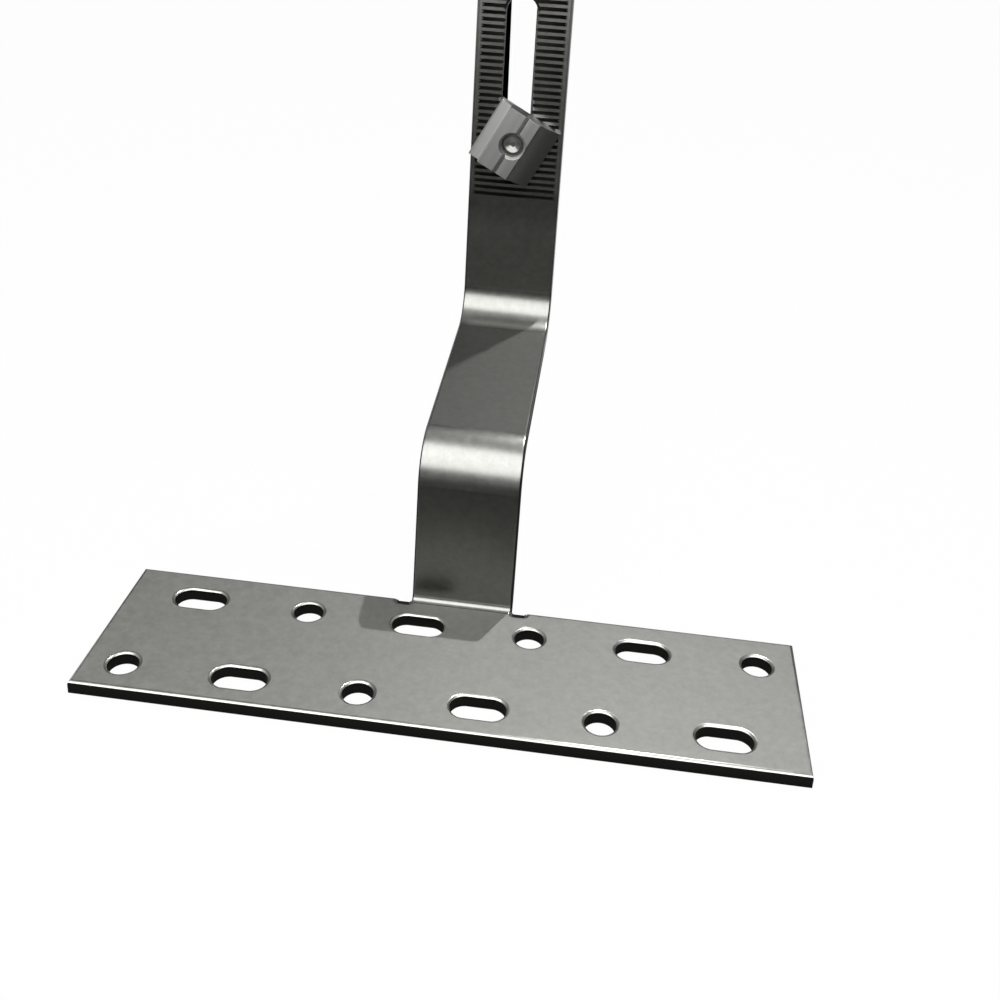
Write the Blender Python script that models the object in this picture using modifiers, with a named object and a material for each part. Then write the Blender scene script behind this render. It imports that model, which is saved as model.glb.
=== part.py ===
"""Solar roof hook: one folded steel sheet, with the bolt, washer and slot nut that clamp a rail to it.

Metres, +Z up. The origin is the middle of the base plate's underside. The plate lies along X, and
the arm rises from the middle of its +Y edge: up the rise, over the knee, back along the reach, round
the shoulder and straight up the post, whose -Y face carries the rail.
"""

import math

import bmesh
import bpy
from mathutils import Matrix, Vector

# Sheet
SHEET = 0.005
EDGE_ROLL = 0.0013  # rounding that the press leaves on the upper rim of every edge and hole
ROLL_STEPS = 3

# Base plate
PLATE_LENGTH = 0.260
PLATE_DEPTH = 0.070

# Screw holes: round and long ones take turns along each of the two rows
HOLE_DIAMETER = 0.011
LONG_HOLE_LENGTH = 0.020
HOLE_PITCH = 0.0432
HOLE_END_MARGIN = 0.008  # least metal between the end holes and the plate's ends
FRONT_ROW_INSET = 0.013
BACK_ROW_INSET = 0.0155
ROW_STAGGER = 0.014
HOLE_STEPS = 32

# Arm: lengths along its front face, from one corner of the fold to the next
ARM_WIDTH = 0.040
RISE_LENGTH = 0.066
RISE_LEAN = math.radians(4.5)
REACH_LENGTH = 0.109
REACH_SLOPE = math.radians(8.5)
POST_LENGTH = 0.1531
POST_CORNER = 0.003
ROOT_BEND = 0.0025  # inner radii of the three bends
KNEE_BEND = 0.015
SHOULDER_BEND = 0.015
BEND_STEP = math.radians(6.0)

# Relief notches beside the arm's root
NOTCH_WIDTH = 0.006
NOTCH_DEPTH = 0.0028
NOTCH_CORNER = 0.0013
CORNER_STEPS = 4

# Long slot in the post, and the teeth pressed across the post's front face
SLOT_WIDTH = 0.013
SLOT_LENGTH = 0.0663
SLOT_FROM_TOP = 0.0135
SLOT_SHIFT = -0.001  # from the arm's middle, along X
SLOT_ROLL = 0.0012
TOOTH_PITCH = 0.0029
TOOTH_GROOVE = 0.0016
TOOTH_DEPTH = 0.0009
TOOTH_MARGIN = 0.0021  # plain strip between the grooves' ends and the arm's edges
TEETH_BELOW_SLOT = 0.0194
TEETH_FROM_TOP = 0.003

# Fastener
CLEARANCE = 0.0003  # running gap between pieces that touch
BOLT_DIAMETER = 0.0092  # an M10 thread at its middle, which stands for the thread
BOLT_LENGTH = 0.014
BOLT_TIP = 0.0078  # diameter of the flat end
BOLT_HEAD_FLATS = 0.016
BOLT_HEAD_HEIGHT = 0.0064
HEAD_CHAMFER = math.radians(30.0)
WASHER_DIAMETER = 0.021
WASHER_THICKNESS = 0.002
WASHER_PLAY = 0.00065  # between the bolt and the washer's hole, all round
TURNED_STEPS = 36

# Slot nut: an extruded section with a ledge on one side and a sloping flank on the other
NUT_LENGTH = 0.028
NUT_HEIGHT = 0.0085
NUT_TURN = math.radians(28.5)
LEDGE_EDGE = 0.0142  # from the bore's axis to the ledge's outer edge
LEDGE_WIDTH = 0.0048
LEDGE_HEIGHT = 0.005
RIDGE_RIGHT = 0.0057  # from the bore's axis to the raised face's other edge
FLANK_EDGE = 0.0149
FLANK_TOP = 0.0072
FLANK_FOOT = 0.0016
FLANK_BULGE = 0.0007
FLANK_STEPS = 5
NUT_CHAMFER = 0.0007
MARK_WIDTH = 0.0018  # the V groove along the raised face
MARK_DEPTH = 0.0012
MARK_SHIFT = -0.0008  # from the bore's axis, towards the ledge
BORE_FLARE = 0.001

# Cutters reach this far past what they cut
OVERSHOOT = 0.004
FLAT_ANGLE = math.radians(0.5)
MERGE = 0.000005


def clear_scene():
    """Removes every object of the open scene."""
    for old in list(bpy.data.objects):
        bpy.data.objects.remove(old, do_unlink=True)


def new_collection(name):
    """A collection of that name in the scene."""
    collection = bpy.data.collections.new(name)
    bpy.context.scene.collection.children.link(collection)
    return collection


def metal(name, colour, roughness):
    """A metal finish."""
    material = bpy.data.materials.new(name)
    material.use_nodes = True
    shader = material.node_tree.nodes["Principled BSDF"]
    shader.inputs["Base Color"].default_value = (*colour, 1.0)
    shader.inputs["Metallic"].default_value = 1.0
    shader.inputs["Roughness"].default_value = roughness
    return material


def object_from_bmesh(name, bm, collection):
    """A new object that holds the bmesh."""
    mesh = bpy.data.meshes.new(name)
    bm.to_mesh(mesh)
    bm.free()
    made = bpy.data.objects.new(name, mesh)
    collection.objects.link(made)
    return made


def as_mesh(source):
    """Replaces an object by its evaluated mesh, with doubles merged, under the same name."""
    bpy.context.view_layer.update()
    evaluated = source.evaluated_get(bpy.context.evaluated_depsgraph_get())
    bm = bmesh.new()
    bm.from_mesh(bpy.data.meshes.new_from_object(evaluated))
    bmesh.ops.remove_doubles(bm, verts=bm.verts, dist=MERGE)
    name = source.name
    collection = source.users_collection[0]
    matrix = source.matrix_world.copy()
    bpy.data.objects.remove(source)
    made = object_from_bmesh(name, bm, collection)
    made.matrix_world = matrix
    return made


def turned(name, profile, collection, steps=TURNED_STEPS):
    """A closed turned shape about Z. The profile's (radius, height) points run from top to bottom."""
    mesh = bpy.data.meshes.new(name)
    points = [(radius, 0.0, height) for radius, height in profile]
    mesh.from_pydata(points, [(i, i + 1) for i in range(len(points) - 1)], [])
    made = bpy.data.objects.new(name, mesh)
    collection.objects.link(made)
    screw = made.modifiers.new("turn", "SCREW")
    screw.steps = steps
    screw.render_steps = steps
    screw.use_merge_vertices = True
    screw.merge_threshold = MERGE
    return as_mesh(made)


def extruded_outline(name, points, thickness, collection):
    """A flat outline in XY, filled and given a thickness that rises from Z = 0."""
    curve = bpy.data.curves.new(name, "CURVE")
    curve.dimensions = "2D"
    curve.fill_mode = "BOTH"
    curve.extrude = thickness / 2
    spline = curve.splines.new("POLY")
    spline.points.add(len(points) - 1)
    for point, (x, y) in zip(spline.points, points):
        point.co = (x, y, 0.0, 1.0)
    spline.use_cyclic_u = True
    made = bpy.data.objects.new(name, curve)
    collection.objects.link(made)
    made = as_mesh(made)
    made.data.transform(Matrix.Translation((0.0, 0.0, thickness / 2)))
    bm = bmesh.new()
    bm.from_mesh(made.data)
    bmesh.ops.dissolve_limit(bm, angle_limit=FLAT_ANGLE, verts=bm.verts, edges=bm.edges)
    bmesh.ops.recalc_face_normals(bm, faces=bm.faces)
    bm.to_mesh(made.data)
    bm.free()
    return made


def arc(centre_x, centre_y, radius, start, end, steps=CORNER_STEPS):
    """Points on an arc, its two ends included; angles in degrees."""
    points = []
    for i in range(steps + 1):
        angle = math.radians(start + (end - start) * i / steps)
        points.append((centre_x + radius * math.cos(angle), centre_y + radius * math.sin(angle)))
    return points


def boolean(target, cutter, operation="DIFFERENCE"):
    """An exact Boolean of the target with one object, or with all objects of a collection."""
    modifier = target.modifiers.new(cutter.name, "BOOLEAN")
    modifier.solver = "EXACT"
    modifier.operation = operation
    if isinstance(cutter, bpy.types.Collection):
        modifier.operand_type = "COLLECTION"
        modifier.collection = cutter
    else:
        modifier.object = cutter


def hide_cutter(cutter):
    """Keeps a cutter out of renders and shows it as wire."""
    cutter.hide_render = True
    cutter.display_type = "WIRE"


def smooth(made, sharp_angle=math.radians(30.0)):
    """Smooth shading, with edges over the given angle kept sharp."""
    made.data.shade_smooth()
    made.data.set_sharp_from_angle(angle=sharp_angle)


# Fold of the arm, along the middle of the sheet

ROOT_TURN = math.pi / 2 - RISE_LEAN
KNEE_TURN = REACH_SLOPE - ROOT_TURN
SHOULDER_TURN = math.pi / 2 - REACH_SLOPE


def front_tangent(inner_radius, turn):
    """Distance from a fold's corner to where its bend starts, along the front face."""
    front_radius = inner_radius if turn > 0 else inner_radius + SHEET
    return front_radius * math.tan(abs(turn) / 2)


def fold_runs():
    """The arm as (length, bend radius, turn) runs on the sheet's middle; a straight run turns 0."""
    root = front_tangent(ROOT_BEND, ROOT_TURN)
    knee = front_tangent(KNEE_BEND, KNEE_TURN)
    shoulder = front_tangent(SHOULDER_BEND, SHOULDER_TURN)
    runs = []
    for inner_radius, turn, straight in (
        (ROOT_BEND, ROOT_TURN, RISE_LENGTH - root - knee),
        (KNEE_BEND, KNEE_TURN, REACH_LENGTH - knee - shoulder),
        (SHOULDER_BEND, SHOULDER_TURN, POST_LENGTH - shoulder),
    ):
        middle_radius = inner_radius + SHEET / 2
        runs.append((middle_radius * abs(turn), middle_radius, turn))
        runs.append((straight, 0.0, 0.0))
    return runs


FOLD_START = PLATE_DEPTH / 2 - front_tangent(ROOT_BEND, ROOT_TURN)
BLANK_END = FOLD_START + sum(length for length, _, _ in fold_runs())


def folded(distance):
    """(y, z, heading) on the sheet's middle, that far along the arm from the fold's start."""
    y = FOLD_START
    z = SHEET / 2
    heading = 0.0
    left = distance
    for length, radius, turn in fold_runs():
        part = min(left, length)
        if turn:
            side = math.copysign(1.0, turn)
            swept = side * part / radius
            y += side * radius * (math.sin(heading + swept) - math.sin(heading))
            z -= side * radius * (math.cos(heading + swept) - math.cos(heading))
            heading += swept
        else:
            y += part * math.cos(heading)
            z += part * math.sin(heading)
        left -= part
        if left <= 0.0:
            break
    return y, z, heading


def bend_stations():
    """Distances along the blank, from the fold's start, where the sheet gets an edge across it."""
    stations = []
    start = 0.0
    for length, _, turn in fold_runs():
        if turn:
            steps = max(4, round(abs(turn) / BEND_STEP))
            stations += [start + length * i / steps for i in range(steps + 1)]
        start += length
    return stations


def fold_sheet(sheet):
    """Cuts the blank across at the bend stations and folds the arm up."""
    bm = bmesh.new()
    bm.from_mesh(sheet.data)
    notch_middle = (ARM_WIDTH + NOTCH_WIDTH) / 2
    for station in bend_stations():
        line = Vector((0.0, FOLD_START + station, 0.0))
        faces = [
            face
            for face in bm.faces
            if station == 0.0 or all(abs(v.co.x) < notch_middle for v in face.verts)
        ]
        parts = set(faces)
        for face in faces:
            parts.update(face.edges)
            parts.update(face.verts)
        bmesh.ops.bisect_plane(bm, geom=list(parts), dist=MERGE, plane_co=line, plane_no=(0.0, 1.0, 0.0))
    for vert in bm.verts:
        distance = vert.co.y - FOLD_START
        if distance > MERGE and abs(vert.co.x) < notch_middle:
            y, z, heading = folded(distance)
            height = vert.co.z - SHEET / 2
            vert.co.y = y - height * math.sin(heading)
            vert.co.z = z + height * math.cos(heading)
    bmesh.ops.triangulate(bm, faces=bm.faces)
    bm.to_mesh(sheet.data)
    bm.free()


POST_TOP = folded(BLANK_END - FOLD_START)[1]
POST_FRONT = folded(BLANK_END - FOLD_START)[0] - SHEET / 2
SLOT_BOTTOM = POST_TOP - SLOT_FROM_TOP - SLOT_LENGTH
BOLT_HEIGHT = SLOT_BOTTOM + BOLT_DIAMETER / 2 + CLEARANCE


# Hook


def blank_outline():
    """The outline of the flat sheet before it is folded, anticlockwise."""
    half_length = PLATE_LENGTH / 2
    half_depth = PLATE_DEPTH / 2
    half_arm = ARM_WIDTH / 2
    floor = half_depth - NOTCH_DEPTH
    centre = floor + NOTCH_CORNER
    outer = half_arm + NOTCH_WIDTH
    right = [(half_length, -half_depth), (half_length, half_depth), (outer, half_depth)]
    right += arc(outer - NOTCH_CORNER, centre, NOTCH_CORNER, 0, -90)
    right += arc(half_arm + NOTCH_CORNER, centre, NOTCH_CORNER, 270, 180)
    right += arc(half_arm - POST_CORNER, BLANK_END - POST_CORNER, POST_CORNER, 0, 90)
    left = [(-x, y) for x, y in reversed(right)]
    return right + left


def roll_top_rim(sheet):
    """Rounds the upper rim of the blank, as the press does."""
    bm = bmesh.new()
    bm.from_mesh(sheet.data)
    rim = [
        edge
        for edge in bm.edges
        if all(v.co.z > SHEET - MERGE for v in edge.verts)
        and any(abs(face.normal.z) < 0.5 for face in edge.link_faces)
    ]
    bmesh.ops.bevel(
        bm,
        geom=rim,
        offset=EDGE_ROLL,
        offset_type="OFFSET",
        segments=ROLL_STEPS,
        profile=0.5,
        affect="EDGES",
        material=-1,
    )
    bm.to_mesh(sheet.data)
    bm.free()


def punch(name, x, y, width, length, roll, collection, along_y=False):
    """A cutter for one hole with a rolled upper rim: round, or long where length exceeds width."""
    radius = width / 2
    rim = [
        (radius + roll * (1 - math.cos(a)), SHEET - roll * (1 - math.sin(a)))
        for a in (math.pi / 2 * i / ROLL_STEPS for i in range(ROLL_STEPS, -1, -1))
    ]
    lip = (2 * rim[0][0] - rim[1][0], 2 * rim[0][1] - rim[1][1])
    top = SHEET + OVERSHOOT
    profile = [(0.0, top), (lip[0], top), lip, *rim[1:], (radius, -OVERSHOOT), (0.0, -OVERSHOOT)]
    cutter = turned(name, profile, collection, HOLE_STEPS)
    cutter.data.transform(Matrix.Rotation(math.pi / HOLE_STEPS, 4, "Z"))
    for vert in cutter.data.vertices:
        if abs(vert.co.x) > MERGE:
            vert.co.x += math.copysign((length - width) / 2, vert.co.x)
    if along_y:
        cutter.data.transform(Matrix.Rotation(math.pi / 2, 4, "Z"))
    cutter.location = (x, y, 0.0)
    hide_cutter(cutter)
    return cutter


def punch_plate(collection):
    """The cutters for both rows of screw holes."""
    room = PLATE_LENGTH - HOLE_DIAMETER - ROW_STAGGER - 2 * HOLE_END_MARGIN
    pitches = int(room / HOLE_PITCH)
    first = -HOLE_PITCH * pitches / 2
    front = -PLATE_DEPTH / 2 + FRONT_ROW_INSET
    back = PLATE_DEPTH / 2 - BACK_ROW_INSET
    for row, y, shift in (("front", front, -ROW_STAGGER / 2), ("back", back, ROW_STAGGER / 2)):
        for i in range(pitches + 1):
            is_long = (i % 2 == 1) == (row == "front")
            length = LONG_HOLE_LENGTH if is_long else HOLE_DIAMETER
            x = first + shift + i * HOLE_PITCH
            punch(f"{row}_hole_{i + 1}", x, y, HOLE_DIAMETER, length, EDGE_ROLL, collection)


def punch_post(collection):
    """The cutter for the post's long slot, in the flat blank."""
    middle = BLANK_END - SLOT_FROM_TOP - SLOT_LENGTH / 2
    punch("post_slot", SLOT_SHIFT, middle, SLOT_WIDTH, SLOT_LENGTH, SLOT_ROLL, collection, along_y=True)


def tooth_comb(collection):
    """The cutter for the V grooves across the post's front face, in the flat blank. Their ends slope up."""
    bm = bmesh.new()
    first = BLANK_END - SLOT_FROM_TOP - SLOT_LENGTH - TEETH_BELOW_SLOT
    last = BLANK_END - TEETH_FROM_TOP
    reach = ARM_WIDTH / 2 - TOOTH_MARGIN
    for i in range(int((last - first) / TOOTH_PITCH) + 1):
        wedge = bmesh.ops.create_cube(bm, size=2.0)["verts"]
        for vert in wedge:
            side, along, up = vert.co
            vert.co.x = side * (reach + up * TOOTH_DEPTH)
            vert.co.y = first + i * TOOTH_PITCH + along * (1.0 + up) * TOOTH_GROOVE / 2
            vert.co.z = SHEET + up * TOOTH_DEPTH
    bmesh.ops.remove_doubles(bm, verts=bm.verts, dist=MERGE)
    bmesh.ops.recalc_face_normals(bm, faces=bm.faces)
    comb = object_from_bmesh("tooth_comb", bm, collection)
    hide_cutter(comb)
    return comb


def make_hook(parts, cutters, steel):
    """The folded sheet: blank with a rolled rim, punched, pressed with teeth, then folded."""
    hook = extruded_outline("hook", blank_outline(), SHEET, parts)
    roll_top_rim(hook)
    punches = bpy.data.collections.new("punches")
    cutters.children.link(punches)
    punch_plate(punches)
    punch_post(punches)
    boolean(hook, tooth_comb(cutters))
    boolean(hook, punches)
    hook = as_mesh(hook)
    fold_sheet(hook)
    smooth(hook)
    hook.data.materials.append(steel)
    return hook


# Fastener, built upright about Z: Z = 0 is the post's front face and +Z points out of it


def make_bolt(parts, cutters, steel, axis):
    """Hexagon-head bolt whose head bears on the washer behind the post."""
    seat = -SHEET - 2 * CLEARANCE - WASHER_THICKNESS
    tip = seat + BOLT_LENGTH
    shank = BOLT_DIAMETER / 2
    blunt = BOLT_TIP / 2
    inside = seat - BOLT_HEAD_HEIGHT / 2
    profile = [(0.0, tip), (blunt, tip), (shank, tip - (shank - blunt)), (shank, inside), (0.0, inside)]
    bolt = turned("hex_bolt", profile, parts)

    bm = bmesh.new()
    corner = BOLT_HEAD_FLATS / math.sqrt(3)
    bmesh.ops.create_cone(
        bm, cap_ends=True, segments=6, radius1=corner, radius2=corner, depth=BOLT_HEAD_HEIGHT
    )
    bmesh.ops.translate(bm, verts=bm.verts, vec=(0.0, 0.0, seat - BOLT_HEAD_HEIGHT / 2))
    head = object_from_bmesh("bolt_head", bm, cutters)

    flats = BOLT_HEAD_FLATS / 2
    base = seat - BOLT_HEAD_HEIGHT
    wide = flats + OVERSHOOT
    cone = [
        (0.0, seat + OVERSHOOT),
        (wide, seat + OVERSHOOT),
        (wide, base + (wide - flats) * math.tan(HEAD_CHAMFER)),
        (flats, base),
        (flats - OVERSHOOT, base - OVERSHOOT * math.tan(HEAD_CHAMFER)),
        (0.0, base - OVERSHOOT * math.tan(HEAD_CHAMFER)),
    ]
    chamfer = turned("head_chamfer", cone, cutters)
    boolean(head, chamfer, "INTERSECT")
    hide_cutter(head)
    hide_cutter(chamfer)
    boolean(bolt, head, "UNION")
    bolt = as_mesh(bolt)
    smooth(bolt)
    bolt.data.materials.append(steel)
    bolt.parent = axis
    return bolt


def make_washer(parts, steel, axis):
    """Plain washer between the bolt's head and the post's back face."""
    outer = WASHER_DIAMETER / 2
    inner = BOLT_DIAMETER / 2 + WASHER_PLAY
    top = -SHEET - CLEARANCE
    bottom = top - WASHER_THICKNESS
    ring = [(inner, top), (outer, top), (outer, bottom), (inner, bottom), (inner, top)]
    washer = turned("flat_washer", ring, parts)
    smooth(washer)
    washer.data.materials.append(steel)
    washer.parent = axis
    return washer


def nut_section():
    """The slot nut's section: X across it, Y its height above the post."""
    ridge_left = LEDGE_WIDTH - LEDGE_EDGE
    half_mark = MARK_WIDTH / 2
    run = FLANK_EDGE - RIDGE_RIGHT
    drop = FLANK_TOP - FLANK_FOOT
    flank = []
    for i in range(FLANK_STEPS + 1):
        share = i / FLANK_STEPS
        bulge = FLANK_BULGE * math.sin(math.pi * share)
        flank.append((RIDGE_RIGHT + run * share, FLANK_TOP - drop * share + bulge))
    return [
        (-LEDGE_EDGE, 0.0),
        (FLANK_EDGE, 0.0),
        *reversed(flank),
        (RIDGE_RIGHT, NUT_HEIGHT - NUT_CHAMFER / 2),
        (RIDGE_RIGHT - NUT_CHAMFER / 2, NUT_HEIGHT),
        (MARK_SHIFT + half_mark, NUT_HEIGHT),
        (MARK_SHIFT, NUT_HEIGHT - MARK_DEPTH),
        (MARK_SHIFT - half_mark, NUT_HEIGHT),
        (ridge_left + NUT_CHAMFER, NUT_HEIGHT),
        (ridge_left, NUT_HEIGHT - NUT_CHAMFER),
        (ridge_left, LEDGE_HEIGHT),
        (-LEDGE_EDGE + NUT_CHAMFER, LEDGE_HEIGHT),
        (-LEDGE_EDGE, LEDGE_HEIGHT - NUT_CHAMFER),
    ]


def make_nut(parts, cutters, aluminium, axis):
    """Extruded slot nut in front of the post, screwed on the bolt and turned out of line."""
    nut = extruded_outline("slot_nut", nut_section(), NUT_LENGTH, parts)
    upright = Matrix.Rotation(math.pi / 2, 4, "X") @ Matrix.Translation((0.0, 0.0, -NUT_LENGTH / 2))
    nut.data.transform(Matrix.Translation((0.0, 0.0, CLEARANCE)) @ upright)
    bore = BOLT_DIAMETER / 2 + CLEARANCE
    face = CLEARANCE + NUT_HEIGHT
    rim = bore + BORE_FLARE
    profile = [
        (0.0, face + OVERSHOOT),
        (rim + OVERSHOOT, face + OVERSHOOT),
        (bore, face - BORE_FLARE),
        (bore, CLEARANCE - OVERSHOOT),
        (0.0, CLEARANCE - OVERSHOOT),
    ]
    cutter = turned("nut_bore", profile, cutters)
    hide_cutter(cutter)
    boolean(nut, cutter)
    nut = as_mesh(nut)
    smooth(nut)
    nut.data.materials.append(aluminium)
    nut.parent = axis
    nut.rotation_euler = (0.0, 0.0, -NUT_TURN)
    return nut


def main():
    clear_scene()
    parts = new_collection("solar_roof_hook")
    cutters = new_collection("cutters")
    stainless = metal("stainless_sheet", (0.50, 0.50, 0.475), 0.42)
    bright_steel = metal("bolt_steel", (0.56, 0.56, 0.54), 0.30)
    aluminium = metal("nut_aluminium", (0.75, 0.76, 0.77), 0.38)

    make_hook(parts, cutters, stainless)
    bolt_axis = bpy.data.objects.new("bolt_axis", None)
    bolt_axis.location = (SLOT_SHIFT, POST_FRONT, BOLT_HEIGHT)
    bolt_axis.rotation_euler = (math.pi / 2, 0.0, 0.0)
    parts.objects.link(bolt_axis)
    make_bolt(parts, cutters, bright_steel, bolt_axis)
    make_washer(parts, bright_steel, bolt_axis)
    make_nut(parts, cutters, aluminium, bolt_axis)


main()
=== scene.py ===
"""Looks of the solar roof hook: its folded stainless sheet, and the bolt, washer and nut on its post.

Metres, +Z up, in the CAD's frame: the origin is the middle of the base plate's underside, and the
camera looks along +Y at the arm's front face.
"""

import math

import bmesh
import bpy
from mathutils import Matrix, Vector, noise


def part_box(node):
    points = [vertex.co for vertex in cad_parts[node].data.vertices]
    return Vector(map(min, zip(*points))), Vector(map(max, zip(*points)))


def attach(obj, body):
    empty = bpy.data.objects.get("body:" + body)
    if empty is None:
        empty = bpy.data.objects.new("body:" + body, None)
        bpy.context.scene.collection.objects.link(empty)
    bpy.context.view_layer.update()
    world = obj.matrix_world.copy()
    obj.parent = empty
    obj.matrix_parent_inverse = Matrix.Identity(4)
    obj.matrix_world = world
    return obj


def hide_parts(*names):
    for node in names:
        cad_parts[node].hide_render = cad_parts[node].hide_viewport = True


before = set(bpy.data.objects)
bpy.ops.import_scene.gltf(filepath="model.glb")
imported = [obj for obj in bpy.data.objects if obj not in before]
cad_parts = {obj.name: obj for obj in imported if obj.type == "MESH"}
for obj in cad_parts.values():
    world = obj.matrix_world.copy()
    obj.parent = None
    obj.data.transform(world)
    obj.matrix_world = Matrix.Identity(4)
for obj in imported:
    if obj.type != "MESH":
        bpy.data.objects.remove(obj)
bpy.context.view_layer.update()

# Camera, fitted to the plate's edges, its holes and the arm's edges in the photograph
PHOTO_SIDE = 1000
FOCAL_PIXELS = 1192.11
CENTRE_PIXEL = (509.92, 314.68)
SENSOR = 36.0
CAMERA_PLACE = Vector((0.047708, -0.354085, 0.294972))
CAMERA_RIGHT = Vector((0.9918, 0.1148, 0.0570))
CAMERA_DOWN = Vector((0.0967, -0.3780, -0.9207))
NEAREST_SEEN = 0.01

# Floor, backdrop and dark card
FLOOR_SIZE = 8.0
FLOOR_DROP = 0.0004  # below the plate's underside
FLOOR_COLOUR = (0.94, 0.94, 0.94)
FLOOR_LIFT = 0.975  # share of plain white in what the floor shows; the rest takes the shadows
BACKDROP_RADIUS = 9.0
CARD_LOW = (-1.5, -3.0)  # XY corners of the card, from far in front of the hook to behind it
CARD_HIGH = (1.5, 0.3)
CARD_COLOUR = (0.09, 0.09, 0.085)
CARD_ROUGHNESS = 0.9

# Lights
KEY_PLACE = Vector((0.110, 0.272, 0.543))  # where the shadows on the plate and the arm lead back to
KEY_RADIUS = 0.005
KEY_LIGHT = 0.8  # on the plate's middle, facing the lamp
BOX_LOW = Vector((0.0, -0.31, 0.20))  # middle of the softbox's lower edge, by the camera
BOX_HIGH = Vector((0.0, -0.06, 0.53))  # middle of its upper edge
BOX_WIDTH = 0.8
BOX_LEVEL = 1.4  # brightness of its face, where 1 is white
AREA_WATTS = 4.0  # an area lamp's power for a square metre of brightness 1
# The room's brightness at an angle in degrees: 0 level in front, 90 overhead, 180 level behind
ROOM_LEVELS = (
    (0, 0.1), (20, 0.15), (45, 0.3), (70, 0.45), (90, 0.32),
    (110, 0.24), (130, 0.18), (150, 0.1), (180, 0.1),
)
ROOM_STRENGTH = 4.0  # the room's ramp holds the levels divided by this

# Sheet
SHEET = 0.005  # thickness
PLATE_BACK = 0.035
ARM_HALF = 0.020  # half of the arm's width
NOTCH_FRONT = 0.0322  # the relief notches beside the arm run from here to the plate's back edge
NOTCH_OUTER = 0.026
NOTCH_SHOWN = 0.08  # share of the notches' depth that shows
KNEE_END = 0.0618  # Y where the knee's arc ends and the reach begins
SHOULDER_TOP = 0.0999  # height where the shoulder's arc ends on the post
SHOULDER_DROP = 0.003  # the shoulder sits this much lower in the photograph than in the solid
TEETH_HEIGHT = 0.12  # above this, a bent face is in a groove of the teeth or on a rim of the slot
FACE_WEIGHT = 100  # so that a large flat face keeps its normals up to its edge

# Marks on the sheet's faces, each tested on a unit normal
FLAT_TILTS = (0.0, 4.5, 81.5, 90.0)  # of the post's, rise's, reach's and plate's normals, in degrees
FOLD_CHANGE = 12.0  # degrees away from a flat at which a fold or rim has fully left the flat's tone
BENT_SHARE = 0.1  # of that change, past which a face is bent
DULL_NORMAL = 0.985  # the plate's top and the reach point up by at least this
SHEARED_THROUGH = 0.4  # on plate and post, sheared faces point through the sheet by less than this
SHEARED_SIDEWAYS = 0.6  # on the folds, they point sideways by more than this

# Bolt and washer
THREAD_RADIUS = 0.005
THREAD_PITCH = 0.0015
THREAD_DEPTH = 0.00081
ROOT_FLAT = 0.25  # share of the pitch
CREST_FLAT = 0.125  # share of the pitch
THREAD_STEPS = 48  # in one turn
SPARE_TURNS = 2  # of thread past each end, which are cut off
HIDDEN_THREAD = 0.0005  # length inside the head
TIP_DIAMETER = 0.0074
TIP_RIM = 0.0005  # flat ring round the tip's cup
TIP_CUP = 0.0022  # width of the cup's sloping wall
TIP_CUP_DEPTH = 0.0012
HEAD_HEIGHT = 0.0064
HEAD_CHAMFER = math.radians(30.0)
HEAD_FACE = 0.96  # width of the head's flat end, as a share of the width across flats
HEAD_CUTS = 9  # along each side of the head's end, for the curved foot of the chamfer
END_NORMAL = 0.9  # the head's end faces point along the bolt by more than this
WASHER_INNER = 0.00525
BROKEN_EDGE = 0.00025
RING_STEPS = 96

# Nut
NUT_TURN = math.radians(28.5)
NUT_RADII = 0.00018
NUT_CORNER = math.radians(28.0)  # edges sharper than this have the radii
LEDGE_STEP = 0.0005  # the ledge is at least this far below the raised face
LEVEL_NORMAL = 0.99  # level faces point outwards by more than this
SLOPED_NORMAL = 0.1  # the sloping flank points outwards and to the right by more than this

# Angles past which an edge shows as a crease
SHARP_ANGLE = math.radians(35.0)
WASHER_SHARP = math.radians(30.0)
BOLT_SHARP = math.radians(28.0)

# Metals: two colours that the grain mixes, roughness, grain scales and the bump's height
SHEET_DARK = (0.4, 0.4, 0.378)
SHEET_LIGHT = (0.545, 0.545, 0.52)
SHEET_ROUGHNESS = 0.3
SHEET_UNEVEN = 0.02  # either way, in roughness
DULL_ROUGHNESS = 0.63  # on the plate's top and the reach
SHEET_SPECKLE = 900.0
SHEET_BLOTCH = 330.0
SHEET_BUMP = 0.00001
# Painted shade: the sheared faces, most of them walls of the holes and the slot, near black
SHEARED_PAINTED_SHADE = (0.08, 0.08, 0.074)
BOLT_DARK = (0.34, 0.34, 0.325)
BOLT_LIGHT = (0.44, 0.44, 0.42)
BOLT_ROUGHNESS = (0.26, 0.34)
BOLT_SPECKLE = 1500.0
BOLT_BLOTCH = 200.0
NUT_DARK = (0.58, 0.59, 0.58)
NUT_LIGHT = (0.72, 0.73, 0.72)
NUT_ROUGHNESS = (0.36, 0.44)
NUT_SPECKLE = 2500.0
NUT_BLOTCH = 300.0
NUT_STRETCH = (1, 1, 40)  # the die drew the grain out along the nut
FINE_BUMP = 0.000004

# Grain
SPECKLE_DETAIL = 3.0
BLOTCH_DETAIL = 4.0
GRAIN_ROUGHNESS = 0.6
NOISE_LOW = 0.3  # the noise lies mostly between these
NOISE_HIGH = 0.7
SPECKLE_SHARE = 0.5  # of the grain's mix of colours; the blotches have the rest

# Painted light and shade, as shares of the metal's own colour
# Painted shade on the arm's flats, by height: reach and rise, foot of the post, post, and its toothed
# field
ARM_PAINTED_SHADES = ((0.08, 0.36), (0.125, 0.57), (0.135, 0.42), (0.141, 0.42), (0.147, 0.62), (0.24, 0.62))
FOLD_TONE = 1.0
RIM_PAINTED_HIGHLIGHT = 1.5  # painted highlight on the rolled rims of the plate and its holes
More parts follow.
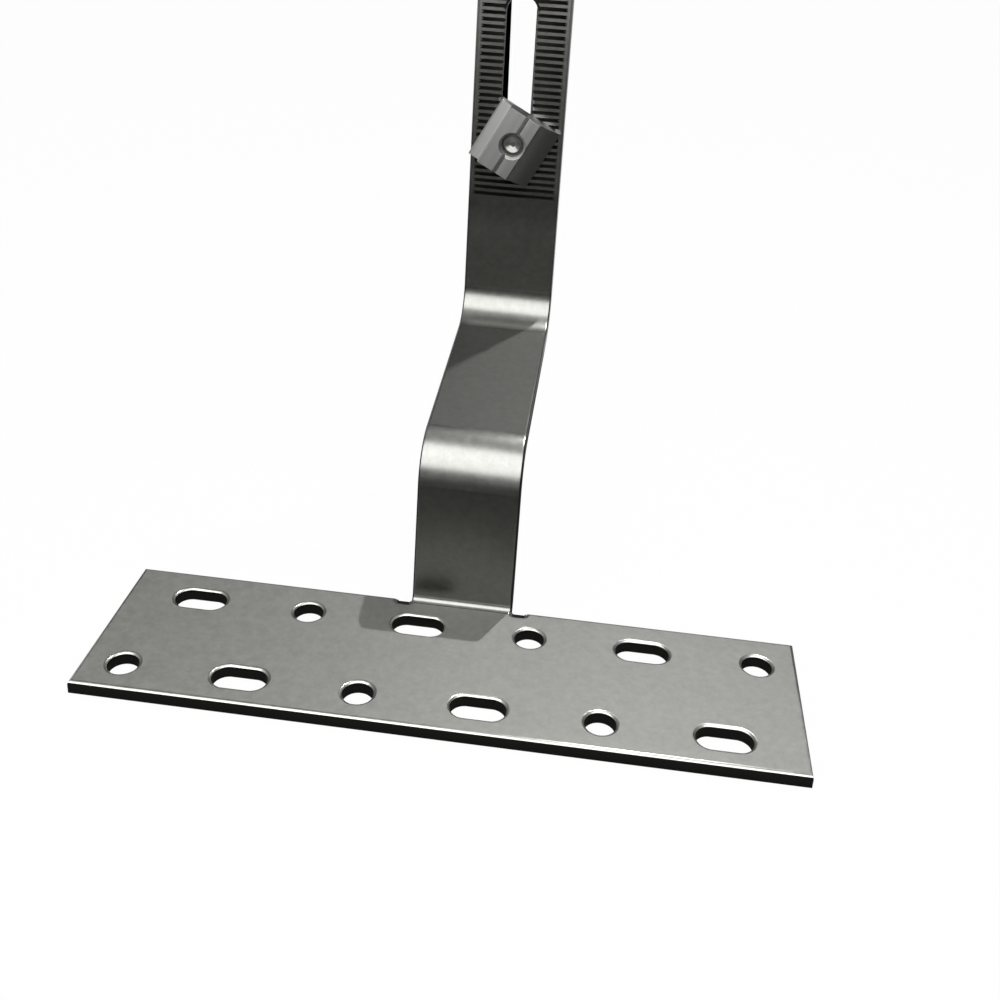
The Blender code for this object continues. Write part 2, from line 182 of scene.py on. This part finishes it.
# Painted shade in the teeth's grooves
GROOVE_PAINTED_SHADE = 0.18
GROOVE_INNER = 1.4  # times the grooves' painted shade at the arm's middle, and 1 less at its sides: a painted highlight towards the slot
GROOVE_UNEVEN = 900.0  # noise steps in a metre of height
# Painted highlight on the nut's ledge, painted shade on its sloping flank and the groove wall
LEDGE_PAINTED_HIGHLIGHT = 1.45
FLANK_PAINTED_SHADE = 0.35

MERGE = 0.000001


# Pieces


def new_object(name, bm, material):
    """An object at the origin from a bmesh, with its material."""
    mesh = bpy.data.meshes.new(name)
    bm.to_mesh(mesh)
    bm.free()
    mesh.materials.append(material)
    made = bpy.data.objects.new(name, mesh)
    bpy.context.scene.collection.objects.link(made)
    return made


def crease(bm, angle):
    """Sharp edges where the surface turns by more than the angle, and round the sheet's sheared faces."""
    sheared = bm.faces.layers.float.get("sheared_edge")
    for edge in bm.edges:
        faces = edge.link_faces
        border = sheared and len(faces) == 2 and faces[0][sheared] != faces[1][sheared]
        edge.smooth = edge.calc_face_angle(math.pi) < angle and not border


def finish_piece(name, bm, body, material, sharp_angle=SHARP_ANGLE):
    """A new piece from a bmesh, smooth between its sharp edges, on its body and with its finish."""
    bm.normal_update()
    crease(bm, sharp_angle)
    piece = new_object(name, bm, material)
    piece.data.shade_smooth()
    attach(piece, body)
    return piece


def merged_node(node):
    """The CAD node's faces with their doubles merged."""
    bm = bmesh.new()
    bm.from_mesh(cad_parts[node].data)
    bmesh.ops.remove_doubles(bm, verts=bm.verts, dist=MERGE)
    return bm


def weigh_normals(piece):
    """Keeps the large flat faces flat where they meet rolled rims."""
    weigh = piece.modifiers.new("flat_faces", "WEIGHTED_NORMAL")
    weigh.mode = "FACE_AREA"
    weigh.keep_sharp = True
    weigh.weight = FACE_WEIGHT


def settle_shoulder(bm):
    """Lowers the fold between reach and post a little; the reach between it and the knee follows."""
    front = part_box("hook")[1].y - SHEET
    for vert in bm.verts:
        if vert.co.y > KNEE_END and vert.co.z < SHOULDER_TOP:
            share = (vert.co.y - KNEE_END) / (front - KNEE_END)
            vert.co.z -= SHOULDER_DROP * min(1.0, share)


def close_notches(bm):
    """Makes the relief notches beside the arm as shallow as they look in the photograph."""
    for vert in bm.verts:
        beside = ARM_HALF + MERGE < abs(vert.co.x) < NOTCH_OUTER + MERGE
        if beside and vert.co.z < SHEET + MERGE and vert.co.y > NOTCH_FRONT - MERGE:
            vert.co.y = PLATE_BACK - (PLATE_BACK - vert.co.y) * NOTCH_SHOWN


def painted_flat_shade(height):
    """Painted shade on the arm's flats at a height: the arm's painted shade steps, with even changes
    between.
    """
    for (low, below), (high, above) in zip(ARM_PAINTED_SHADES, ARM_PAINTED_SHADES[1:]):
        if height < high:
            return below + (above - below) * max(0.0, height - low) / (high - low)
    return ARM_PAINTED_SHADES[-1][1]


def painted_groove_shade(place):
    """Painted shade in the teeth's grooves, with a painted highlight towards the slot, and uneven from one
    to the next.
    """
    uneven = noise.noise(Vector((0.0, 0.0, place.z * GROOVE_UNEVEN)))
    return GROOVE_PAINTED_SHADE * (GROOVE_INNER - abs(place.x) / ARM_HALF) * (1.0 + uneven)


def fold_share(normal):
    """0 on the sheet's flats, 1 on its folds and rolled rims, with a short change between."""
    tilt = math.degrees(math.asin(min(1.0, abs(normal.z))))
    return min(1.0, min(abs(tilt - flat) for flat in FLAT_TILTS) / FOLD_CHANGE)


def painted_light_tone(vert, on_plate, bent):
    """The tone at a corner of a face: that of the flat there, painted shade on the arm, changing to a
    fold's plain tone or a rim's painted highlight.
    """
    plain = 1.0 if on_plate else painted_flat_shade(vert.co.z)
    full = RIM_PAINTED_HIGHLIGHT if on_plate else FOLD_TONE
    bright = fold_share(vert.normal) if bent else 0.0
    return plain + (full - plain) * bright


def is_sheared(normal, height, on_plate):
    """Whether a face of the sheet is one that the press sheared through."""
    if on_plate:
        return abs(normal.z) < SHEARED_THROUGH
    if height > SHOULDER_TOP:
        return abs(normal.y) < SHEARED_THROUGH
    return abs(normal.x) > SHEARED_SIDEWAYS


def mark_faces(bm):
    """Marks the sheared faces, the dull flats, the arm's flats and each corner's tone of painted light and
    shade, for the finish.
    """
    bm.normal_update()
    sheared = bm.faces.layers.float.new("sheared_edge")
    dull_flat = bm.faces.layers.float.new("dull_flat")
    arm_flat = bm.faces.layers.float.new("arm_flat")
    tone = bm.loops.layers.float.new("tone")
    for face in bm.faces:
        middle = face.calc_center_median()
        on_plate = middle.z < SHEET + MERGE and middle.y < PLATE_BACK + MERGE
        bent = fold_share(face.normal) > BENT_SHARE
        groove = bent and middle.z > TEETH_HEIGHT
        face[sheared] = float(is_sheared(face.normal, middle.z, on_plate))
        face[dull_flat] = float(face.normal.z > DULL_NORMAL)
        face[arm_flat] = float(not bent and not on_plate)
        for corner in face.loops:
            vert = corner.vert
            # Painted tones: shade in the grooves and on the arm's flats, highlight on the rims
            corner[tone] = painted_groove_shade(vert.co) if groove else painted_light_tone(vert, on_plate, bent)


def make_sheet(material):
    """The folded sheet."""
    bm = merged_node("hook")
    mark_faces(bm)
    settle_shoulder(bm)
    close_notches(bm)
    piece = finish_piece("folded_sheet", bm, "hook", material)
    weigh_normals(piece)
    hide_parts("hook")


def mark_nut(bm):
    """Marks painted light on the nut: a painted highlight on its ledge, and painted shade on its sloping
    flank and the groove wall beside it.
    """
    bm.normal_update()
    tone = bm.faces.layers.float.new("tone")
    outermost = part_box("slot_nut")[0].y
    outward = Vector((0.0, -1.0, 0.0))
    across = Vector((math.cos(NUT_TURN), 0.0, -math.sin(NUT_TURN)))
    for face in bm.faces:
        facing = face.normal.dot(outward)
        if facing > LEVEL_NORMAL and face.calc_center_median().y > outermost + LEDGE_STEP:
            face[tone] = LEDGE_PAINTED_HIGHLIGHT
        elif SLOPED_NORMAL < facing < LEVEL_NORMAL and face.normal.dot(across) > SLOPED_NORMAL:
            face[tone] = FLANK_PAINTED_SHADE
        else:
            face[tone] = 1.0


def make_nut(material):
    """The slot nut, with the small radii that the die and the deburring leave."""
    bm = merged_node("slot_nut")
    mark_nut(bm)
    piece = finish_piece("nut_extrusion", bm, "slot_nut", material)
    bevel = piece.modifiers.new("edge_radii", "BEVEL")
    bevel.width = NUT_RADII
    bevel.segments = 2
    bevel.limit_method = "ANGLE"
    bevel.angle_limit = NUT_CORNER
    weigh_normals(piece)
    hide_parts("slot_nut")


def spun_ring(profile):
    """A closed ring about Z from a closed (radius, height) profile."""
    bm = bmesh.new()
    verts = [bm.verts.new((radius, 0.0, height)) for radius, height in profile]
    edges = [bm.edges.new((verts[i], verts[(i + 1) % len(verts)])) for i in range(len(verts))]
    bmesh.ops.spin(
        bm,
        geom=verts + edges,
        cent=(0, 0, 0),
        axis=(0, 0, 1),
        angle=math.tau,
        steps=RING_STEPS,
        use_merge=True,
    )
    bmesh.ops.remove_doubles(bm, verts=bm.verts, dist=MERGE)
    bmesh.ops.recalc_face_normals(bm, faces=bm.faces)
    return bm


def bolt_frame():
    """Turns Z to point out of the post's front, from an origin on the bolt's axis at the washer's back."""
    low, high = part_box("flat_washer")
    middle = (low + high) / 2
    return Matrix.Translation((middle.x, high.y, middle.z)) @ Matrix.Rotation(math.pi / 2, 4, "X")


def make_washer(material):
    """Plain washer with broken edges."""
    low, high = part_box("flat_washer")
    outer = (high.x - low.x) / 2
    thick = high.y - low.y
    corners = [
        (WASHER_INNER, BROKEN_EDGE),
        (WASHER_INNER + BROKEN_EDGE, 0.0),
        (outer - BROKEN_EDGE, 0.0),
        (outer, BROKEN_EDGE),
        (outer, thick - BROKEN_EDGE),
        (outer - BROKEN_EDGE, thick),
        (WASHER_INNER + BROKEN_EDGE, thick),
        (WASHER_INNER, thick - BROKEN_EDGE),
    ]
    bm = spun_ring(corners)
    bmesh.ops.transform(bm, matrix=bolt_frame(), verts=bm.verts)
    piece = finish_piece("washer_ring", bm, "clamp", material, WASHER_SHARP)
    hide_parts("flat_washer")


def spin_thread(bm, bottom, top):
    """A right-hand thread about Z between two heights, with spare turns past both."""
    root = THREAD_RADIUS - THREAD_DEPTH
    flank = (1.0 - ROOT_FLAT - CREST_FLAT) / 2
    crest = ROOT_FLAT + flank
    profile = [
        (0.0, root),
        (ROOT_FLAT, root),
        (crest, THREAD_RADIUS),
        (crest + CREST_FLAT, THREAD_RADIUS),
        (1.0, root),
    ]
    start = bottom - SPARE_TURNS * THREAD_PITCH
    verts = [bm.verts.new((radius, 0.0, start + share * THREAD_PITCH)) for share, radius in profile]
    edges = [bm.edges.new((verts[i], verts[i + 1])) for i in range(len(verts) - 1)]
    turns = math.ceil((top - bottom) / THREAD_PITCH) + 2 * SPARE_TURNS
    bmesh.ops.spin(
        bm,
        geom=verts + edges,
        cent=(0, 0, 0),
        axis=(0, 0, 1),
        dvec=(0, 0, THREAD_PITCH / THREAD_STEPS),
        angle=math.tau * turns,
        steps=THREAD_STEPS * turns,
    )
    bmesh.ops.remove_doubles(bm, verts=bm.verts, dist=MERGE)


def chamfer_tip(bm, top):
    """Draws the thread in to the tip's diameter, at 45 degrees."""
    for vert in bm.verts:
        across = math.hypot(vert.co.x, vert.co.y)
        limit = TIP_DIAMETER / 2 + max(0.0, top - vert.co.z)
        if across > limit:
            vert.co.x *= limit / across
            vert.co.y *= limit / across


def close_ends(bm, bottom, top):
    """Cuts the thread off at both heights and closes its ends; gives the tip's face."""
    for height, outward in ((top, 1.0), (bottom, -1.0)):
        bmesh.ops.bisect_plane(
            bm,
            geom=list(bm.verts) + list(bm.edges) + list(bm.faces),
            dist=MERGE,
            plane_co=(0, 0, height),
            plane_no=(0, 0, outward),
            clear_outer=True,
        )
    rims = [edge for edge in bm.edges if edge.is_boundary]
    ends = bmesh.ops.holes_fill(bm, edges=rims, sides=0)["faces"]
    return [face for face in ends if face.calc_center_median().z > top - MERGE]


def add_thread(bm, bottom, top):
    """A threaded shank about Z between two heights, with a chamfered tip that the rolling left cupped."""
    spin_thread(bm, bottom, top)
    chamfer_tip(bm, top)
    tip = close_ends(bm, bottom, top)
    bmesh.ops.inset_region(bm, faces=tip, thickness=TIP_RIM)
    bmesh.ops.inset_region(bm, faces=tip, thickness=TIP_CUP)
    for vert in tip[0].verts:
        vert.co.z = top - TIP_CUP_DEPTH


def add_head(bm, across_flats, seat):
    """A hexagon head below the seat, chamfered on its outer end; its flats face along X."""
    flats = across_flats / 2
    corner = flats / math.cos(math.pi / 6)
    washer_face = HEAD_FACE * flats
    middle = seat - HEAD_HEIGHT / 2
    made = bmesh.ops.create_cone(
        bm,
        cap_ends=True,
        segments=6,
        radius1=corner,
        radius2=corner,
        depth=HEAD_HEIGHT,
        matrix=Matrix.Translation((0, 0, middle)) @ Matrix.Rotation(math.pi / 2, 4, "Z"),
    )
    bm.normal_update()
    head = set(made["verts"])
    end = [face for face in bm.faces if set(face.verts) <= head and face.normal.z < -END_NORMAL]
    bmesh.ops.subdivide_edges(bm, edges=list(end[0].edges), cuts=HEAD_CUTS)
    bm.normal_update()
    outer = [face for face in bm.faces if face.calc_center_median().z < middle]
    end = [face for face in outer if face.normal.z < -END_NORMAL]
    rim = list(end[0].verts)
    bmesh.ops.inset_region(bm, faces=end, thickness=BROKEN_EDGE, use_even_offset=True)
    for vert in end[0].verts:
        across = math.hypot(vert.co.x, vert.co.y)
        vert.co.x *= washer_face / across
        vert.co.y *= washer_face / across
    for vert in rim:
        across = math.hypot(vert.co.x, vert.co.y)
        vert.co.z += (across - washer_face) * math.tan(HEAD_CHAMFER)


def make_bolt(material):
    """Hexagon-head bolt with its real thread."""
    low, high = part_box("hex_bolt")
    washer_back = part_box("flat_washer")[1].y
    tip = washer_back - low.y
    seat = washer_back - (high.y - HEAD_HEIGHT)
    bm = bmesh.new()
    add_thread(bm, seat - HIDDEN_THREAD, tip)
    add_head(bm, high.x - low.x, seat)
    bmesh.ops.recalc_face_normals(bm, faces=bm.faces)
    bmesh.ops.transform(bm, matrix=bolt_frame(), verts=bm.verts)
    piece = finish_piece("threaded_bolt", bm, "clamp", material, BOLT_SHARP)
    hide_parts("hex_bolt")


# Node helpers


def maths(tree, operation, *values):
    """The result of a Math node, whose inputs are numbers or other nodes' outputs."""
    node = tree.nodes.new("ShaderNodeMath")
    node.operation = operation
    for socket, value in zip(node.inputs, values):
        if isinstance(value, bpy.types.NodeSocket):
            tree.links.new(value, socket)
        else:
            socket.default_value = value
    return node.outputs["Value"]


def spread_noise(tree, source, low, high):
    """Spreads a noise value over a range."""
    spread = tree.nodes.new("ShaderNodeMapRange")
    spread.inputs["From Min"].default_value = NOISE_LOW
    spread.inputs["From Max"].default_value = NOISE_HIGH
    spread.inputs["To Min"].default_value = low
    spread.inputs["To Max"].default_value = high
    tree.links.new(source, spread.inputs["Value"])
    return spread.outputs["Result"]


def mixed_colour(tree, factor, first, second):
    """A colour between two, by a factor."""
    mix = tree.nodes.new("ShaderNodeMix")
    mix.data_type = "RGBA"
    mix.inputs["A"].default_value = (*first, 1.0)
    mix.inputs["B"].default_value = (*second, 1.0)
    tree.links.new(factor, mix.inputs["Factor"])
    return mix.outputs["Result"]


def grey_ramp(tree, position, steps):
    """The grey at a position along (position, level) steps, with even changes between."""
    ramp = tree.nodes.new("ShaderNodeValToRGB")
    stops = ramp.color_ramp.elements
    stops.remove(stops[1])
    for index, (place, level) in enumerate(steps):
        stop = stops[0] if index == 0 else stops.new(place)
        stop.position = place
        stop.color = (level, level, level, 1.0)
    tree.links.new(position, ramp.inputs["Fac"])
    return ramp.outputs["Color"]


def read_mark(tree, name):
    """One of the marks that mark_faces and mark_nut leave on a piece."""
    mark = tree.nodes.new("ShaderNodeAttribute")
    mark.attribute_name = name
    return mark.outputs["Fac"]


# Metals


def grain_group():
    """Metal grain: fine speckle and broad blotches, both from 3-D noise."""
    group = bpy.data.node_groups.new("metal_grain", "ShaderNodeTree")
    sockets = (
        ("Vector", "INPUT", "NodeSocketVector"),
        ("Speckle Scale", "INPUT", "NodeSocketFloat"),
        ("Blotch Scale", "INPUT", "NodeSocketFloat"),
        ("Speckle", "OUTPUT", "NodeSocketFloat"),
        ("Blotch", "OUTPUT", "NodeSocketFloat"),
    )
    for name, direction, kind in sockets:
        group.interface.new_socket(name=name, in_out=direction, socket_type=kind)
    nodes, links = group.nodes, group.links
    entry = nodes.new("NodeGroupInput")
    leave = nodes.new("NodeGroupOutput")
    for name, detail in (("Speckle", SPECKLE_DETAIL), ("Blotch", BLOTCH_DETAIL)):
        texture = nodes.new("ShaderNodeTexNoise")
        texture.inputs["Detail"].default_value = detail
        texture.inputs["Roughness"].default_value = GRAIN_ROUGHNESS
        links.new(entry.outputs["Vector"], texture.inputs["Vector"])
        links.new(entry.outputs[f"{name} Scale"], texture.inputs["Scale"])
        links.new(texture.outputs["Fac"], leave.inputs[name])
    return group


def metal(name, grain, dark, light, roughness, speckle, blotch, bump, stretch=(1, 1, 1), turn=(0, 0, 0)):
    """A bare metal: grain in its colour, its roughness and its surface."""
    material = bpy.data.materials.new(name)
    material.use_nodes = True
    tree = material.node_tree
    shader = tree.nodes["Principled BSDF"]
    shader.inputs["Metallic"].default_value = 1.0
    place = tree.nodes.new("ShaderNodeTexCoord")
    mapping = tree.nodes.new("ShaderNodeMapping")
    mapping.vector_type = "TEXTURE"
    mapping.inputs["Scale"].default_value = stretch
    mapping.inputs["Rotation"].default_value = turn
    tree.links.new(place.outputs["Object"], mapping.inputs["Vector"])
    marks = tree.nodes.new("ShaderNodeGroup")
    marks.node_tree = grain
    marks.inputs["Speckle Scale"].default_value = speckle
    marks.inputs["Blotch Scale"].default_value = blotch
    tree.links.new(mapping.outputs["Vector"], marks.inputs["Vector"])
    blotches = spread_noise(tree, marks.outputs["Blotch"], 0.0, 1.0 - SPECKLE_SHARE)
    tone = maths(tree, "MULTIPLY_ADD", marks.outputs["Speckle"], SPECKLE_SHARE, blotches)
    tree.links.new(mixed_colour(tree, tone, dark, light), shader.inputs["Base Color"])
    uneven = spread_noise(tree, marks.outputs["Blotch"], roughness[0], roughness[1])
    tree.links.new(uneven, shader.inputs["Roughness"])
    lift = tree.nodes.new("ShaderNodeBump")
    lift.inputs["Strength"].default_value = 1.0
    lift.inputs["Distance"].default_value = bump
    tree.links.new(marks.outputs["Speckle"], lift.inputs["Height"])
    tree.links.new(lift.outputs["Normal"], shader.inputs["Normal"])
    return material


def scale_colour(tree, tone):
    """Scales a metal's base colour by a tone, and gives the scaled colour."""
    base = tree.nodes["Principled BSDF"].inputs["Base Color"]
    toned = tree.nodes.new("ShaderNodeVectorMath")
    toned.operation = "SCALE"
    tree.links.new(base.links[0].from_socket, toned.inputs[0])
    tree.links.new(tone, toned.inputs["Scale"])
    tree.links.new(toned.outputs["Vector"], base)
    return toned.outputs["Vector"]


def painted_height_shade(tree):
    """Painted shade on the arm's flats along the height, by the same steps as the corners' tones."""
    place = tree.nodes.new("ShaderNodeTexCoord")
    split = tree.nodes.new("ShaderNodeSeparateXYZ")
    tree.links.new(place.outputs["Object"], split.inputs["Vector"])
    top = ARM_PAINTED_SHADES[-1][0]
    share = maths(tree, "DIVIDE", split.outputs["Z"], top)
    return grey_ramp(tree, share, [(height / top, level) for height, level in ARM_PAINTED_SHADES])


def sheet_tone(tree):
    """The sheet's painted light and shade: on the arm's flats the painted shade of their height, and
    elsewhere the corners' own tone.
    """
    chosen = tree.nodes.new("ShaderNodeMix")
    tree.links.new(read_mark(tree, "arm_flat"), chosen.inputs["Factor"])
    tree.links.new(read_mark(tree, "tone"), chosen.inputs["A"])
    tree.links.new(painted_height_shade(tree), chosen.inputs["B"])
    return chosen.outputs["Result"]


def sheet_finish(grain):
    """Stainless sheet: rougher on plate and reach, smoother on folds and rims; painted shade on the arm's
    flats, the teeth's grooves and the sheared faces, and painted highlight on the rims.
    """
    material = metal(
        "stainless_sheet",
        grain,
        dark=SHEET_DARK,
        light=SHEET_LIGHT,
        roughness=(SHEET_ROUGHNESS - SHEET_UNEVEN, SHEET_ROUGHNESS + SHEET_UNEVEN),
        speckle=SHEET_SPECKLE,
        blotch=SHEET_BLOTCH,
        bump=SHEET_BUMP,
    )
    tree = material.node_tree
    shader = tree.nodes["Principled BSDF"]
    smooth = shader.inputs["Roughness"].links[0].from_socket
    added = DULL_ROUGHNESS - SHEET_ROUGHNESS
    rough = maths(tree, "MULTIPLY_ADD", read_mark(tree, "dull_flat"), added, smooth)
    tree.links.new(rough, shader.inputs["Roughness"])
    # Painted shade on the sheared faces
    cut = tree.nodes.new("ShaderNodeMix")
    cut.data_type = "RGBA"
    cut.inputs["B"].default_value = (*SHEARED_PAINTED_SHADE, 1.0)
    tree.links.new(read_mark(tree, "sheared_edge"), cut.inputs["Factor"])
    tree.links.new(scale_colour(tree, sheet_tone(tree)), cut.inputs["A"])
    tree.links.new(cut.outputs["Result"], shader.inputs["Base Color"])
    return material


def bolt_finish(grain):
    """Bright stainless steel, for the bolt and the washer."""
    return metal(
        "bolt_steel",
        grain,
        dark=BOLT_DARK,
        light=BOLT_LIGHT,
        roughness=BOLT_ROUGHNESS,
        speckle=BOLT_SPECKLE,
        blotch=BOLT_BLOTCH,
        bump=FINE_BUMP,
    )


def nut_finish(grain):
    """Mill-finish aluminium, with the die's fine lines along the nut."""
    material = metal(
        "nut_aluminium",
        grain,
        dark=NUT_DARK,
        light=NUT_LIGHT,
        roughness=NUT_ROUGHNESS,
        speckle=NUT_SPECKLE,
        blotch=NUT_BLOTCH,
        bump=FINE_BUMP,
        stretch=NUT_STRETCH,
        turn=(0, NUT_TURN, 0),
    )
    # Painted highlight on the ledge, painted shade on the flank and the groove wall
    scale_colour(material.node_tree, read_mark(material.node_tree, "tone"))
    return material


# Stage, lights and camera


def floor_material():
    """Near-white ground that still takes a soft shadow."""
    material = bpy.data.materials.new("pale_floor")
    material.use_nodes = True
    tree = material.node_tree
    tree.nodes.clear()
    paint = tree.nodes.new("ShaderNodeBsdfDiffuse")
    paint.inputs["Color"].default_value = (*FLOOR_COLOUR, 1.0)
    glow = tree.nodes.new("ShaderNodeEmission")
    glow.inputs["Strength"].default_value = 1.0
    rays = tree.nodes.new("ShaderNodeLightPath")
    seen = maths(tree, "MAXIMUM", rays.outputs["Is Camera Ray"], rays.outputs["Is Glossy Ray"])
    seen = maths(tree, "MAXIMUM", seen, rays.outputs["Is Transmission Ray"])
    mix = tree.nodes.new("ShaderNodeMixShader")
    tree.links.new(maths(tree, "MULTIPLY", seen, FLOOR_LIFT), mix.inputs["Fac"])
    tree.links.new(paint.outputs["BSDF"], mix.inputs[1])
    tree.links.new(glow.outputs["Emission"], mix.inputs[2])
    out = tree.nodes.new("ShaderNodeOutputMaterial")
    tree.links.new(mix.outputs["Shader"], out.inputs["Surface"])
    return material


def stage_plane(name, low, high, height, material):
    """A flat stage piece between two XY corners, from a unit square."""
    bm = bmesh.new()
    bmesh.ops.create_grid(bm, x_segments=1, y_segments=1, size=0.5)
    size = Vector((high[0] - low[0], high[1] - low[1], 1.0))
    middle = Vector(((high[0] + low[0]) / 2, (high[1] + low[1]) / 2, height))
    bmesh.ops.scale(bm, vec=size, verts=bm.verts)
    bmesh.ops.translate(bm, vec=middle, verts=bm.verts)
    plane = new_object(name, bm, material)
    return plane


def make_floor(material):
    """The pale floor."""
    half = FLOOR_SIZE / 2
    stage_plane("floor", (-half, -half), (half, half), -FLOOR_DROP, material)


def make_backdrop(material):
    """A white shell far round the stage; only the camera sees it."""
    bm = bmesh.new()
    bmesh.ops.create_uvsphere(bm, u_segments=32, v_segments=16, radius=BACKDROP_RADIUS)
    shell = new_object("backdrop", bm, material)
    shell.visible_diffuse = False
    shell.visible_glossy = False
    shell.visible_transmission = False
    shell.visible_shadow = False


def make_card():
    """A dark card on the floor, which only reflections see; it darkens what the arm's front mirrors."""
    material = bpy.data.materials.new("dark_card")
    material.use_nodes = True
    shader = material.node_tree.nodes["Principled BSDF"]
    shader.inputs["Base Color"].default_value = (*CARD_COLOUR, 1.0)
    shader.inputs["Roughness"].default_value = CARD_ROUGHNESS
    card = stage_plane("dark_card", CARD_LOW, CARD_HIGH, -FLOOR_DROP / 2, material)
    card.visible_camera = False
    card.visible_diffuse = False
    card.visible_shadow = False


def make_key():
    """A small lamp high behind on the right, whose crisp shadows lie on the plate and the arm."""
    lamp = bpy.data.lights.new("key", "POINT")
    lamp.shadow_soft_size = KEY_RADIUS
    lamp.energy = KEY_LIGHT * 4 * math.pi * KEY_PLACE.length_squared
    key = bpy.data.objects.new("key", lamp)
    key.location = KEY_PLACE
    bpy.context.scene.collection.objects.link(key)


def make_softbox():
    """A wide lamp from beside the camera to overhead, which the arm's folds and the holes' rims mirror."""
    run = BOX_HIGH - BOX_LOW
    lamp = bpy.data.lights.new("softbox", "AREA")
    lamp.shape = "RECTANGLE"
    lamp.size = BOX_WIDTH
    lamp.size_y = run.length
    lamp.energy = BOX_LEVEL * AREA_WATTS * BOX_WIDTH * run.length
    box = bpy.data.objects.new("softbox", lamp)
    across = Vector((1.0, 0.0, 0.0))
    turn = Matrix((across, run.normalized(), across.cross(run.normalized()))).transposed()
    box.matrix_world = Matrix.Translation((BOX_LOW + BOX_HIGH) / 2) @ turn.to_4x4()
    box.visible_camera = False
    bpy.context.scene.collection.objects.link(box)


def make_room():
    """A soft plain room: bright above the front, darker overhead, behind and low."""
    world = bpy.data.worlds.new("studio")
    world.use_nodes = True
    bpy.context.scene.world = world
    tree = world.node_tree
    place = tree.nodes.new("ShaderNodeTexCoord")
    split = tree.nodes.new("ShaderNodeSeparateXYZ")
    tree.links.new(place.outputs["Generated"], split.inputs["Vector"])
    forward = maths(tree, "MULTIPLY", split.outputs["Y"], -1.0)
    angle = maths(tree, "ARCTAN2", split.outputs["Z"], forward)
    share = maths(tree, "MULTIPLY", angle, 1 / math.pi)
    steps = [(degrees / 180, level / ROOM_STRENGTH) for degrees, level in ROOM_LEVELS]
    ground = tree.nodes["Background"]
    tree.links.new(grey_ramp(tree, share, steps), ground.inputs["Color"])
    ground.inputs["Strength"].default_value = ROOM_STRENGTH


def make_camera():
    """The photograph's view, from its fitted place, turn and focal length."""
    data = bpy.data.cameras.new("camera")
    data.sensor_width = SENSOR
    data.lens = FOCAL_PIXELS / PHOTO_SIDE * SENSOR
    data.shift_x = 0.5 - CENTRE_PIXEL[0] / PHOTO_SIDE
    data.shift_y = CENTRE_PIXEL[1] / PHOTO_SIDE - 0.5
    data.clip_start = NEAREST_SEEN
    camera = bpy.data.objects.new("camera", data)
    right = CAMERA_RIGHT.normalized()
    up = -(CAMERA_DOWN - CAMERA_DOWN.dot(right) * right).normalized()
    back = right.cross(up)
    turn = Matrix((right, up, back)).transposed()
    camera.matrix_world = Matrix.Translation(CAMERA_PLACE) @ turn.to_4x4()
    bpy.context.scene.collection.objects.link(camera)
    bpy.context.scene.camera = camera


def main():
    """Makes the pieces with their finishes, and then the stage, the lights and the camera."""
    bpy.context.scene.view_settings.view_transform = "Standard"
    grain = grain_group()
    bolt_steel = bolt_finish(grain)
    make_sheet(sheet_finish(grain))
    make_nut(nut_finish(grain))
    make_washer(bolt_steel)
    make_bolt(bolt_steel)
    pale_floor = floor_material()
    make_floor(pale_floor)
    make_backdrop(pale_floor)
    make_card()
    make_key()
    make_softbox()
    make_room()
    make_camera()


main()
